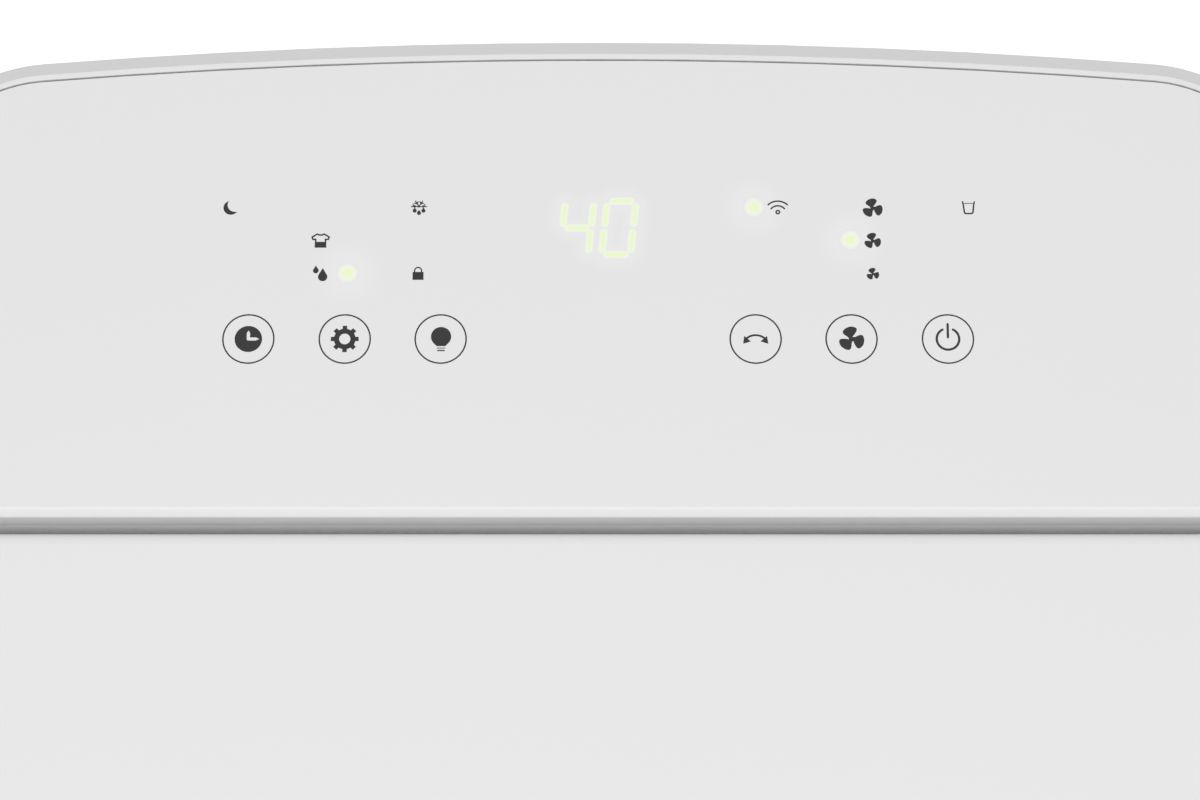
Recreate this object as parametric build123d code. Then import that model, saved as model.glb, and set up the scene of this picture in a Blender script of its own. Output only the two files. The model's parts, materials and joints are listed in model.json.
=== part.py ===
"""A 20-litre-a-day compressor dehumidifier on four casters, as separate pieces.

Frame: millimetres, X across the body (left to right seen from the front), Y from the front (-Y) to
the back (+Y), Z up.  The origin is on the floor under the middle of the body.
"""

import math
import os

from build123d import *

os.makedirs("parts", exist_ok=True)

# ---- driving dimensions -------------------------------------------------------------------------
BODY_W, BODY_D, BODY_H = 346.0, 240.0, 530.0
FACE_R = 1640.0  # bow of the front and back faces, seen from above
CORNER_R = 40.0
WALL = 3.0
SEAM = 0.4  # gap between neighbouring casing pieces
FIT = 0.05  # radial running clearance

# heights of the casing pieces
BASE_Z, BASE_TOP = 30.0, 60.0
DRAWER_TOP = 236.0
COVER_Z = 484.0

# top of the machine
RIM_CHAMFER = 5.0
RIM_INSET = 6.34  # from the body's outline to the inside of the rim
PLATE_GAP = 0.5  # round the panel and the flap
PLATE_INSET = RIM_INSET + PLATE_GAP
PLATE_T = 3.5
LEDGE_Z = BODY_H - PLATE_T
LEDGE_INSET = 12.0
LEDGE_UNDER_Z = 520.0
DECK_Z, DECK_T = 500.0, 3.0
PANEL_FRONT_Y = -2.4  # wall at the back of the groove
PANEL_CHAMFER, CREASE_R = 1.7, 0.8  # the chamfer's upper edge is rounded over
SKIRT_T = 2.5
SKIRT_Z = 512.0
GROOVE_Z, GROOVE_FLOOR_T = 521.0, 1.5  # floor of the groove, under the flap's hinge edge
GROOVE_X0, GROOVE_X1 = -150.0, 164.0  # it stops short of the flap's gear on the left
GROOVE_FRONT_Y = -10.5

# outlet flap, hinged along the front of the groove
HINGE_R = 3.1
HINGE_Y, HINGE_Z = -9.5, BODY_H - HINGE_R
FLAP_T = 3.0
FLAP_PIN_R = 1.0
FLAP_PIN_REACH = 2.4

# outlet opening in the deck
OUTLET_X, OUTLET_Y0, OUTLET_Y1 = 127.5, -97.0, -23.0
GRILLE_DEPTH = 15.0

# flap drive: a sector on the flap and a pinion on the stepper motor
GEAR_MODULE = 1.0
SECTOR_TEETH, PINION_TEETH = 32, 12
MESH_ANGLE = 30.0  # from the front, downwards, to the pinion
SECTOR_X, GEAR_W = -160.0, 4.0

# controls: three buttons each side of the middle, indicator lamps in three rows behind them
BUTTON_X = (37.68, 60.62, 83.68)
BUTTON_Y = 41.6
LAMP_ROWS = (58.1, 66.7, 75.1)
DIGITS_Y = 69.7
BOARD_Z, BOARD_T = 516.0, 1.6
BOARD_TOP, UNDER_PANEL_Z = BOARD_Z + BOARD_T, LEDGE_Z - 0.3
POST_X, POST_Y = (118.0, 40.0), (18.0, 96.0)  # posts under the display board

# floor tray
PAN_FLOOR = 3.0
SOCKET_R, SOCKET_TOP = 7.0, 52.0  # caster sockets
RAIL_X, RAIL_HALF = 104.0, 4.0  # drawer rails
BOSS_R, BOSS_TOP = 8.0, 44.0  # under the compressor's rubber mounts

# side grips: a cup in each side wall
GRIP_Y0, GRIP_Y1, GRIP_Z0, GRIP_Z1 = 19.0, 97.0, 417.0, 453.0
GRIP_X, GRIP_WALL, GRIP_CORNER = 150.5, 2.5, 9.0

# drawer with the water tank
TANK_X, TANK_Y0, TANK_Y1 = 150.0, -112.0, -10.0
TANK_Z0, TANK_Z1 = 65.8, 200.0
TANK_WALL = 2.5
DRAWER_Y = -75.0  # how far the drawer front wraps round the sides
BAIL_Y, BAIL_Z = -60.0, 188.0
BAIL_BAR_Y, BAIL_BAR_Z = -12.0, 209.0
FLOAT_Y, FLOAT_Z = -88.0, 188.0
STUD_R = 2.5  # the bail turns on these
CEILING_Z, CEILING_T = 258.0, 2.5  # over the drawer

# fan
FAN_Z = 372.0
SCROLL_Y0, SCROLL_Y1 = -78.0, -14.0
WHEEL_R = 77.0
SHAFT_R = 4.0

# coils
CONDENSER_Y, EVAPORATOR_Y = 35.0, 71.0
COIL_DEPTH = 26.0
COIL_Z0, COIL_Z1 = 272.0, 452.0
DRIP_X, DRIP_Y0, DRIP_Y1, DRIP_Z0, DRIP_Z1, DRIP_WALL = 125.0, 14.0, 94.0, 263.0, 281.0, 2.0
SPOUT, HOSE_STUB = (0.0, -40.0), (-110.0, 60.0)
STUB_R, STUB_BORE = 7.0, 5.0
PASSES, PASS_PITCH, PASS_Z0 = 8, 22.0, 285.0
TUBE_R = 4.0

# compressor
COMP_X, COMP_Y, COMP_R = 82.0, 52.0, 48.0
COMP_WALL = 3.0
COMP_SPLIT_Z, COMP_TOP = 150.0, 238.0
COMP_FOOT = 41.0  # mounts stand this far out, both ways
FOOT_Z, FOOT_T = 52.0, 2.5
GROMMET_WAIST_R, GROMMET_TOP, MOUNT_BOLT_R = 5.0, 60.0, 3.0
PUMP_PORT_Z, PUMP_PORT_R = 84.0, 4.0
DISCHARGE_OFFSET, DISCHARGE_R = 18.0, 3.2
CORE_R = COMP_R - COMP_WALL - 0.1  # stator and pump inside the shell
ROTOR_R, CRANK_R = 24.0, 8.0
ACCUMULATOR_X = 14.0

# casters
CASTER_X, CASTER_Y = 140.0, 88.0
WHEEL_RADIUS, WHEEL_W = 13.0, 11.0
TRAIL = 8.0
STEM_R, AXLE_R = 3.5, 1.6

# back of the machine
GRILLE_X, GRILLE_Z0, GRILLE_Z1 = 119.0, 217.0, 453.0
SPIGOT_X, SPIGOT_Z, SPIGOT_R, SPIGOT_BORE = -110.0, 150.0, 7.0, 5.0
RECESS_R, RECESS_WALL, RECESS_Y = 22.0, 2.5, 95.5
SCREW_CUP_R, SCREW_RECESS_R, SCREW_HOLE_R = 7.0, 4.5, 1.9
SCREW_SEAT_Y, BACK_WALL_Y = 104.5, 118.0
GLAND_X, GLAND_Z, GLAND_BORE = 118.0, 95.0, 3.6
GLAND_R, GLAND_FLANGE_R = 6.0, 9.0
SCREW_PLACES = [(x, z) for z in (75.0, 468.0) for x in (-128.0, 0.0, 128.0)]


# ---- shape helpers ------------------------------------------------------------------------------
def box(x0, x1, y0, y1, z0, z1):
    """A block between two corners."""
    corner = Align.MIN, Align.MIN, Align.MIN
    return Pos(x0, y0, z0) * Box(x1 - x0, y1 - y0, z1 - z0, align=corner)


def along_x(sketch, x0, x1):
    """A sketch drawn in (Y, Z), as a prism from x0 to x1."""
    return Pos(x0, 0, 0) * (Plane.YZ * extrude(sketch, amount=x1 - x0, dir=(0, 0, 1)))


def along_y(sketch, y0, y1):
    """A sketch drawn in (X, Z), as a prism from y0 to y1."""
    return Pos(0, y1, 0) * (Plane.XZ * extrude(sketch, amount=y1 - y0, dir=(0, 0, 1)))


def along_z(sketch, z0, z1):
    """A sketch drawn in (X, Y), as a prism from z0 to z1."""
    return Pos(0, 0, z0) * extrude(sketch, amount=z1 - z0, dir=(0, 0, 1))


def rod_x(x0, x1, y, z, radius):
    return along_x(Pos(y, z) * Circle(radius), x0, x1)


def rod_y(x, z, y0, y1, radius):
    return along_y(Pos(x, z) * Circle(radius), y0, y1)


def rod_z(x, y, z0, z1, radius):
    return along_z(Pos(x, y) * Circle(radius), z0, z1)


def rounded(x0, x1, y0, y1, radius):
    """A rectangle with round corners, as a sketch."""
    return Pos((x0 + x1) / 2, (y0 + y1) / 2) * RectangleRounded(x1 - x0, y1 - y0, radius)


def plan(inset=0.0):
    """The body's outline seen from above, drawn in by inset."""
    half_w, half_d, radius = BODY_W / 2 - inset, BODY_D / 2 - inset, FACE_R - inset
    side_y = half_d - radius + math.sqrt(radius**2 - half_w**2)
    edges = [
        ThreePointArc((-half_w, -side_y), (0, -half_d), (half_w, -side_y)),
        Line((half_w, -side_y), (half_w, side_y)),
        ThreePointArc((half_w, side_y), (0, half_d), (-half_w, side_y)),
        Line((-half_w, side_y), (-half_w, -side_y)),
    ]
    face = make_face(Curve() + edges)
    return fillet(face.vertices(), CORNER_R - inset)


def tube(points, radii, outer, bore):
    """A pipe that follows straight runs joined by tangent arcs."""
    path = FilletPolyline(*points, radius=radii)
    start = Plane(origin=path @ 0, z_dir=path % 0)
    return sweep(start * (Circle(outer) - Circle(bore)), path=path)


def sides(*values):
    """Each value on the right and on the left."""
    return [sign * value for value in values for sign in (1, -1)]


def four(x, y):
    """The four places (+-x, +-y)."""
    return [(sx * x, sy * y) for sx in (1, -1) for sy in (1, -1)]


def foot_places():
    """Centres of the compressor's four rubber mounts."""
    return [(COMP_X + dx, COMP_Y + dy) for dx, dy in four(COMP_FOOT, COMP_FOOT)]


def save(name, *solids):
    shape = solids[0] if len(solids) == 1 else Compound(children=list(solids))
    shape.label = name
    export_step(shape, f"parts/{name}.step")


# ---- casing -------------------------------------------------------------------------------------
def base_pan():
    """Tray that carries everything: caster sockets, drawer rails and compressor bosses."""
    pan = along_z(plan(), BASE_Z, BASE_TOP)
    pan = chamfer(pan.faces().sort_by(Axis.Z)[0].edges(), 4.0)
    pan -= along_z(plan(WALL), BASE_Z + PAN_FLOOR, BASE_TOP + 1)
    inside = BASE_Z + PAN_FLOOR - 1
    for x, y in four(CASTER_X, CASTER_Y):
        pan += rod_z(x, y, BASE_Z, SOCKET_TOP, SOCKET_R)
        pan -= rod_z(x, y, BASE_Z - 1, SOCKET_TOP - PAN_FLOOR, STEM_R + FIT)
    for x in sides(RAIL_X):
        pan += box(x - RAIL_HALF, x + RAIL_HALF, -105, -6, inside, TANK_Z0 - 0.3)
    for x, y in foot_places():
        pan += rod_z(x, y, inside, BOSS_TOP, BOSS_R)
    lip = along_z(plan(WALL + 0.3) - plan(WALL + 2.3), BASE_TOP - 8, BASE_TOP + 6)
    lip += along_z(plan(WALL - 0.5) - plan(WALL + 2.3), BASE_TOP - 8, BASE_TOP - 4)
    return pan + (lip & box(-BODY_W, BODY_W, 4, BODY_D, 0, BODY_H))


def shell(y0, y1):
    """A slice of the upright casing wall between two depths."""
    ring = along_z(plan() - plan(WALL), BASE_TOP + SEAM, COVER_Z - SEAM)
    return ring & box(-BODY_W, BODY_W, y0, y1, 0, BODY_H)


def front_shell():
    """Front half of the casing, open below for the drawer."""
    wall = shell(-BODY_D, PANEL_FRONT_Y - 3.6)
    return wall - box(-BODY_W, BODY_W, -BODY_D, DRAWER_Y + SEAM, 0, DRAWER_TOP)


def grip_cup(side, inset=0.0):
    """Block of a side grip's cup or, drawn in by inset, the space for the fingers."""
    y0, y1, z0, z1 = GRIP_Y0 + inset, GRIP_Y1 - inset, GRIP_Z0 + inset, GRIP_Z1 - inset
    reach = BODY_W / 2 - 1 + (8 if inset else 0)
    ends = sorted((side * (GRIP_X + inset), side * reach))
    return along_x(rounded(y0, y1, z0, z1, GRIP_CORNER - inset), *ends)


def rear_shell():
    """Back half: air intake opening, side grips, hose spigot in its recess and cable gland hole."""
    wall = shell(PANEL_FRONT_Y - 3.2, BODY_D)
    body = along_z(plan(), BASE_TOP + SEAM, COVER_Z - SEAM)
    for side in (1, -1):
        wall = wall + (grip_cup(side) & body) - grip_cup(side, GRIP_WALL)
    wall -= box(-GRILLE_X, GRILLE_X, 60, BODY_D, GRILLE_Z0, GRILLE_Z1)
    outer = RECESS_R + RECESS_WALL
    recess = rod_y(SPIGOT_X, SPIGOT_Z, RECESS_Y - RECESS_WALL, BACK_WALL_Y, outer) & body
    wall = wall + recess - rod_y(SPIGOT_X, SPIGOT_Z, RECESS_Y, BODY_D, RECESS_R)
    wall += rod_y(SPIGOT_X, SPIGOT_Z, 86, 114, SPIGOT_R)
    wall -= rod_y(SPIGOT_X, SPIGOT_Z, 80, BODY_D, SPIGOT_BORE)
    wall -= rod_y(GLAND_X, GLAND_Z, 60, BODY_D, GLAND_R)
    for x, z in SCREW_PLACES:
        cup = rod_y(x, z, SCREW_SEAT_Y - RECESS_WALL, BACK_WALL_Y, SCREW_CUP_R) & body
        wall = wall + cup - rod_y(x, z, SCREW_SEAT_Y, BODY_D, SCREW_RECESS_R)
        wall -= rod_y(x, z, 90, BODY_D, SCREW_HOLE_R)
    return wall


def top_cover():
    """Rim round the top, with the ledge and the deck under the panel and the flap."""
    ring = along_z(plan(), COVER_Z, BODY_H)
    ring = chamfer(ring.faces().sort_by(Axis.Z)[-1].edges(), RIM_CHAMFER)
    ring -= along_z(plan(WALL), COVER_Z - 1, LEDGE_UNDER_Z)
    ring -= along_z(plan(RIM_INSET), COVER_Z - 1, BODY_H + 1)
    ring += along_z(plan(RIM_INSET - 1) - plan(LEDGE_INSET), LEDGE_UNDER_Z, LEDGE_Z)
    ring += along_z(plan(WALL - 1), DECK_Z, DECK_Z + DECK_T)
    ring += box(-160, 160, PANEL_FRONT_Y + 4.4, PANEL_FRONT_Y + 6.4, DECK_Z, LEDGE_Z)
    x, y0, y1 = OUTLET_X + PLATE_GAP, OUTLET_Y0 - PLATE_GAP, OUTLET_Y1 + PLATE_GAP
    ring -= box(-x, x, y0, y1, DECK_Z - 1, DECK_Z + DECK_T + 1)
    pivot = rod_x(-BODY_W / 2 + 3.7, BODY_W / 2 - 3.7, HINGE_Y, HINGE_Z, FLAP_PIN_R + FIT)
    rim_x = BODY_W / 2 - RIM_INSET
    groove = box(-rim_x, rim_x, HINGE_Y - 4, PANEL_FRONT_Y + 4.4, SKIRT_Z - 2, LEDGE_Z + 1)
    sweep_room = box(-165, -150, HINGE_Y - 14, PANEL_FRONT_Y + 4.4, DECK_Z + DECK_T, LEDGE_Z + 1)
    ring -= pivot + groove + sweep_room
    post = rod_z(0, 0, DECK_Z + DECK_T, BOARD_Z, 3)
    for x in sides(*POST_X):
        for y in POST_Y:
            ring += Pos(x, y) * post
    return ring


def top_front_edge(part):
    """The highest straight edge along X, nearest the front."""
    return part.edges().filter_by(Axis.X).group_by(Axis.Z)[-1].sort_by(Axis.Y)[0]


def control_panel():
    """Touch panel plate, with the skirt and foot that form the groove's back wall and floor."""
    back = box(-BODY_W, BODY_W, PANEL_FRONT_Y, BODY_D, 0, BODY_H)
    plate = along_z(plan(PLATE_INSET), LEDGE_Z, BODY_H) & back
    back_y = PANEL_FRONT_Y + SKIRT_T
    plate += box(-GROOVE_X1, GROOVE_X1, PANEL_FRONT_Y, back_y, SKIRT_Z, BODY_H - 1)
    plate += box(GROOVE_X0, GROOVE_X1, GROOVE_FRONT_Y, back_y, GROOVE_Z - GROOVE_FLOOR_T, GROOVE_Z)
    plate = chamfer(top_front_edge(plate), PANEL_CHAMFER)
    return fillet(top_front_edge(plate), CREASE_R)


def rear_grille():
    """Slotted air intake cover that pulls straight off the back."""
    gap = 0.5
    x1, z0, z1 = GRILLE_X - gap, GRILLE_Z0 + gap, GRILLE_Z1 - gap
    cover = along_z(plan() - plan(WALL), z0, z1) & box(-x1, x1, 60, BODY_D, z0, z1)
    rows, pitch, height = 25, 9.0, 4.6
    width, columns = 52.0, (-84.0, -28.0, 28.0, 84.0)
    slots = Sketch()
    for row in range(rows):
        z = (z0 + z1) / 2 + (row - (rows - 1) / 2) * pitch
        slots += [Pos(x, z) * SlotOverall(width, height) for x in columns]
    return cover - along_y(slots, 90, BODY_D)


def air_filter():
    """Filter frame with its mesh, clipped behind the intake grille."""
    x1, z0, z1 = GRILLE_X - 2, GRILLE_Z0 + 2, GRILLE_Z1 - 2
    frame = box(-x1, x1, 104, 109, z0, z1) - box(-x1 + 5, x1 - 5, 100, 112, z0 + 5, z1 - 5)
    for x in (-x1 / 3, x1 / 3):
        frame += box(x - 1.5, x + 1.5, 104, 109, z0, z1)
    for k in (1, 2):
        z = z0 + (z1 - z0) * k / 3
        frame += box(-x1, x1, 104, 109, z - 1.5, z + 1.5)
    return frame + box(-x1 + 4, x1 - 4, 106, 106.8, z0 + 4, z1 - 4)


# ---- air outlet ---------------------------------------------------------------------------------
def outlet_flap():
    """Plate over the air outlet with a round hinge edge and a pin at each end."""
    front = box(-BODY_W, BODY_W, -BODY_D, HINGE_Y, 0, BODY_H)
    flap = along_z(plan(PLATE_INSET), BODY_H - FLAP_T, BODY_H) & front
    end = BODY_W / 2 - PLATE_INSET
    flap += rod_x(-end, end, HINGE_Y, HINGE_Z, HINGE_R)
    inner = along_z(plan(20) - plan(22), BODY_H - FLAP_T - 3, BODY_H - 1)
    flap += inner & box(-145, BODY_W, -BODY_D, HINGE_Y - 8, 0, BODY_H)
    return flap + rod_x(-end - FLAP_PIN_REACH, end + FLAP_PIN_REACH, HINGE_Y, HINGE_Z, FLAP_PIN_R)


def involute(base_r, radius):
    """Polar angle of an involute at a radius, in radians from where it leaves the base circle."""
    turn = math.sqrt(max((radius / base_r) ** 2 - 1, 0))
    return turn - math.atan(turn)


def gear(teeth, first=0, last=None, backlash=0.16):
    """Involute gear outline about the origin, with a tooth centred on the +X direction."""
    pitch_r = GEAR_MODULE * teeth / 2
    base_r = pitch_r * math.cos(math.radians(20))
    tip_r, root_r = pitch_r + 0.9 * GEAR_MODULE, pitch_r - 1.2 * GEAR_MODULE
    half = math.pi / (2 * teeth) - backlash / (2 * pitch_r)
    flank = [base_r + (tip_r - base_r) * k / 4 for k in range(5)]
    offsets = [(r, half + involute(base_r, pitch_r) - involute(base_r, r)) for r in flank]
    offsets.insert(0, (root_r, offsets[0][1]))
    points = []
    for tooth in range(first, teeth if last is None else last):
        middle = 2 * math.pi * tooth / teeth
        for r, offset in offsets:
            points.append((r * math.cos(middle - offset), r * math.sin(middle - offset)))
        for r, offset in reversed(offsets):
            points.append((r * math.cos(middle + offset), r * math.sin(middle + offset)))
    return points


def flap_sector():
    """Toothed sector under the left end of the flap, turning about the hinge."""
    teeth = Polygon(*gear(SECTOR_TEETH, -1, 8), (0, 0), align=None)
    start = 180 + MESH_ANGLE
    sector = along_x(Pos(HINGE_Y, HINGE_Z) * Rot(0, 0, start) * teeth, SECTOR_X, SECTOR_X + GEAR_W)
    sector += rod_x(SECTOR_X, SECTOR_X + GEAR_W, HINGE_Y, HINGE_Z, 4.5)
    sector -= box(-BODY_W, BODY_W, -BODY_D, BODY_D, BODY_H - FLAP_T - 0.02, BODY_H + 5)
    return sector - rod_x(-BODY_W, BODY_W, HINGE_Y, HINGE_Z, HINGE_R + 0.02)


def pinion_place():
    """Centre of the flap's drive pinion, as (Y, Z)."""
    reach = GEAR_MODULE * (SECTOR_TEETH + PINION_TEETH) / 2
    angle = math.radians(180 + MESH_ANGLE)
    return HINGE_Y + reach * math.cos(angle), HINGE_Z + reach * math.sin(angle)


def flap_pinion():
    """Pinion with its shaft, on the stepper motor."""
    y, z = pinion_place()
    teeth = Polygon(*gear(PINION_TEETH), align=None)
    start = MESH_ANGLE + 180 / PINION_TEETH
    wheel = along_x(Pos(y, z) * Rot(0, 0, start) * teeth, SECTOR_X - 0.5, SECTOR_X + GEAR_W + 0.5)
    return wheel + rod_x(SECTOR_X + GEAR_W, -144, y, z, 1.5)


def flap_stepper():
    """Small stepper motor that swings the flap, with its two mounting ears."""
    y, z = pinion_place()
    motor = rod_x(-153.5, -138, y, z, 10)
    motor += along_x(Pos(y, z) * SlotOverall(32, 7), -153.5, -152.5)
    motor += box(-153, -140, y - 9, y + 9, DECK_Z + DECK_T, z - 5)
    return motor - rod_x(-160, -143, y, z, 1.5 + FIT)


def outlet_grille():
    """Fixed vanes across the outlet, dropped into the deck."""
    x, y0, y1 = OUTLET_X, OUTLET_Y0, OUTLET_Y1
    top = DECK_Z + DECK_T
    frame = box(-x - 4, x + 4, y0 - 4, y1 + 4, top, top + 1.5)
    frame += box(-x, x, y0, y1, top - GRILLE_DEPTH, top + 1)
    frame -= box(-x + 2, x - 2, y0 + 2, y1 - 2, 400, BODY_H)
    vanes, pitch = 18, 13.4
    for k in range(vanes):
        place = (k - (vanes - 1) / 2) * pitch
        frame += box(place - 0.8, place + 0.8, y0, y1, top - GRILLE_DEPTH, top - 1)
    middle = (y0 + y1) / 2
    return frame + box(-x, x, middle - 1, middle + 1, top - GRILLE_DEPTH, top - 2)


# ---- fan ----------------------------------------------------------------------------------------
def fan_scroll():
    """Spiral fan housing with the duct that opens out to the outlet grille."""
    r_first, r_second, top = 84.0, 94.0, 98.0
    tongue = math.radians(50)
    tip = r_first * math.cos(tongue), r_first * math.sin(tongue)
    middle = r_first * math.cos(tongue / 2), r_first * math.sin(tongue / 2)
    edges = [
        Line((92, top), tip),
        ThreePointArc(tip, middle, (r_first, 0)),
        RadiusArc((r_first, 0), (0, -r_first), r_first),
        RadiusArc((0, -r_first), (-r_second, r_second - r_first), r_second),
        Line((-r_second, r_second - r_first), (-r_second, top)),
        Line((-r_second, top), (92, top)),
    ]
    room = Pos(0, FAN_Z) * make_face(Curve() + edges)
    skin = offset(room, amount=2.0, kind=Kind.INTERSECTION)
    scroll = along_y(skin, SCROLL_Y0 - 2, SCROLL_Y1) - along_y(room, SCROLL_Y0, SCROLL_Y1 + 1)
    scroll -= rod_y(0, FAN_Z, SCROLL_Y0 - 5, SCROLL_Y0 + 1, 14)
    z0, z1 = FAN_Z + top - 0.5, DECK_Z + DECK_T - GRILLE_DEPTH - 0.2
    low, high = Plane.XY.offset(z0), Plane.XY.offset(z1)

    def duct(grow):
        below = rounded(-94 - grow, 92 + grow, SCROLL_Y0 - grow, SCROLL_Y1 - 2 + grow, 2)
        x = OUTLET_X - 2 + grow
        above = rounded(-x, x, OUTLET_Y0 + 2 - grow, OUTLET_Y1 - 2 + grow, 2)
        return loft([low * below, high * above])

    cut = box(-200, 200, SCROLL_Y0, SCROLL_Y1, z0 - 3, z0 + 3) & along_y(room, SCROLL_Y0, SCROLL_Y1)
    return scroll - box(-93.9, 91.9, SCROLL_Y0, SCROLL_Y1, z0 - 1, z0 + 9) + (duct(2) - duct(0)) - cut


def fan_bulkhead():
    """Upright plate between the coils and the fan, with the inlet ring."""
    y0, y1 = SCROLL_Y1 + 0.2, SCROLL_Y1 + 2.2
    plate = box(-166, 166, y0, y1, 261, DECK_Z - 0.2)
    plate += rod_y(0, FAN_Z, y0 - 4, y1, 60)
    plate -= box(-9.5, 9.5, y0 - 1, y1 + 1, 250, 276.4)
    return plate - rod_y(0, FAN_Z, y0 - 10, y1 + 10, 57.5)


def fan_motor():
    """Shaded-pole motor on the front of the scroll."""
    back = SCROLL_Y0 - 2
    motor = fillet(rod_y(0, FAN_Z, -112, back - 3, 36).edges(), 3)
    motor += rod_y(0, FAN_Z, back - 3.5, back, 46) + rod_y(0, FAN_Z, back, back + 3, 11)
    return motor - rod_y(0, FAN_Z, -104, back + 5, SHAFT_R + FIT)


def blower_shaft():
    return rod_y(0, FAN_Z, -103, -34, SHAFT_R)


def blower_wheel():
    """Forward-curved fan wheel: back plate, hub, blades and front ring."""
    back, front, inner = -73.0, -21.0, 63.0
    wheel = rod_y(0, FAN_Z, back, back + 2, WHEEL_R)
    wheel += rod_y(0, FAN_Z, back, -42, 11)
    ring = Circle(WHEEL_R) - Circle(70)
    wheel += along_y(Pos(0, FAN_Z) * ring, front - 3, front)
    blades, sweep_angle = 32, 9.0
    chord = [(inner, 0), (70, -1.6), (WHEEL_R - 0.3, 0.6), (WHEEL_R - 0.3, 2.4), (70, 0.2), (inner, 1.4)]
    blade = Polygon(*chord, align=None)
    pack = Sketch() + [Rot(0, 0, 360 / blades * k + sweep_angle) * blade for k in range(blades)]
    wheel += along_y(Pos(0, FAN_Z) * pack, back + 1, front - 1)
    return wheel - rod_y(0, FAN_Z, back - 5, front + 5, SHAFT_R)


# ---- refrigeration ------------------------------------------------------------------------------
def pass_heights():
    return [PASS_Z0 + PASS_PITCH * k for k in range(PASSES)]


def coil_fins(y):
    """Stack of aluminium fins, each pierced by the tube passes."""
    fins, pitch, thick = 40, 5.4, 0.6
    outline = rounded(y - COIL_DEPTH / 2, y + COIL_DEPTH / 2, COIL_Z0, COIL_Z1, 1)
    for z in pass_heights():
        outline -= Pos(y, z) * Circle(TUBE_R + FIT)
    fin = along_x(outline, 0, thick)
    return [Pos((k - (fins - 1) / 2) * pitch, 0, 0) * fin for k in range(fins)]


def serpentine(y, radius):
    """A bar that runs to and fro through a coil, with half-round bends past its end plates."""
    heights, end, turn = pass_heights(), 112.0, PASS_PITCH / 2
    bar = rod_x(-end, end + 4, y, heights[0], radius) + rod_x(-end, end + 4, y, heights[-1], radius)
    for z in heights[1:-1]:
        bar += rod_x(-end, end, y, z, radius)
    for k, z in enumerate(heights[:-1]):
        side = -1 if k % 2 == 0 else 1
        ring = Pos(side * end, y, z + turn) * Rot(90, 0, 0) * Torus(turn, radius)
        bar += ring & box(*sorted((side * end, side * 140)), y - 9, y + 9, z - 9, z + 31)
    return bar


def coil_tubes(y):
    return serpentine(y, TUBE_R) - serpentine(y, TUBE_R - 0.7)


def coil_end_plates():
    """Galvanised plates at both ends of both coils, standing in the drain pan."""
    plates = []
    for y in (CONDENSER_Y, EVAPORATOR_Y):
        outline = rounded(y - 14, y + 14, 265.2, COIL_Z1 + 3, 1)
        for z in pass_heights():
            outline -= Pos(y, z) * Circle(TUBE_R + FIT)
        plates += [along_x(outline, x - 0.75, x + 0.75) for x in sides(110.0)]
    return plates


def drain_pan():
    """Tray under the coils with a spout that drips into the tank."""
    x, y0, y1, floor = DRIP_X - DRIP_WALL, DRIP_Y0 + DRIP_WALL, DRIP_Y1 - DRIP_WALL, DRIP_Z0 + DRIP_WALL
    pan = box(-DRIP_X, DRIP_X, DRIP_Y0, DRIP_Y1, DRIP_Z0, DRIP_Z1) - box(-x, x, y0, y1, floor, DRIP_Z1 + 9)
    pan += box(-9, 9, -48, DRIP_Y0 + 1, DRIP_Z0, DRIP_Z1 - 5)
    pan -= box(-7, 7, -46, y0 + 1, floor, DRIP_Z1 + 9)
    for x, y in (SPOUT, HOSE_STUB):
        pan += rod_z(x, y, 250, DRIP_Z0 + 1, STUB_R)
        pan -= rod_z(x, y, 240, floor + 3, STUB_BORE)
    return pan


def drain_hose():
    """Hose from the second stub of the pan to the spigot in the back."""
    x, y = HOSE_STUB
    points = [(x, y, 261), (x, y, SPIGOT_Z), (x, 91, SPIGOT_Z)]
    return tube(points, [14], SPIGOT_R + FIT + 1.5, SPIGOT_R + FIT)


def pump_port():
    """Hole for the suction elbow through the shell and into the pump."""
    return rod_x(COMP_X - 60, COMP_X - 40, COMP_Y, PUMP_PORT_Z, PUMP_PORT_R + FIT)


def compressor_body():
    """Lower half of the welded compressor shell with its foot plate."""
    feet_top = FOOT_Z + FOOT_T
    feet = along_z(Pos(COMP_X, COMP_Y) * RectangleRounded(100, 100, 8), FOOT_Z, feet_top)
    cup = rod_z(COMP_X, COMP_Y, feet_top, COMP_SPLIT_Z, COMP_R)
    cup = fillet(cup.faces().sort_by(Axis.Z)[0].edges(), 14)
    space = rod_z(COMP_X, COMP_Y, feet_top + COMP_WALL, COMP_SPLIT_Z + 10, COMP_R - COMP_WALL)
    space = fillet(space.faces().sort_by(Axis.Z)[0].edges(), 14 - COMP_WALL)
    body = cup + feet - space
    for x, y in foot_places():
        body -= rod_z(x, y, FOOT_Z - 2, FOOT_Z + FOOT_T + 1.5, GROMMET_WAIST_R + FIT)
    return body - pump_port()


def compressor_cap():
    """Domed upper half of the compressor shell with the discharge stub hole."""
    cap = rod_z(COMP_X, COMP_Y, COMP_SPLIT_Z, COMP_TOP, COMP_R)
    cap = fillet(cap.faces().sort_by(Axis.Z)[-1].edges(), 24)
    space = rod_z(COMP_X, COMP_Y, COMP_SPLIT_Z - 1, COMP_TOP - COMP_WALL, COMP_R - COMP_WALL)
    space = fillet(space.faces().sort_by(Axis.Z)[-1].edges(), 24 - COMP_WALL)
    stub = rod_z(COMP_X + DISCHARGE_OFFSET, COMP_Y, COMP_TOP - 18, COMP_TOP + 2, DISCHARGE_R + FIT)
    return cap - space - stub


def compressor_stator():
    ring = Circle(CORE_R) - Circle(ROTOR_R + 0.5)
    return along_z(Pos(COMP_X, COMP_Y) * ring, 130, 200)


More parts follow.
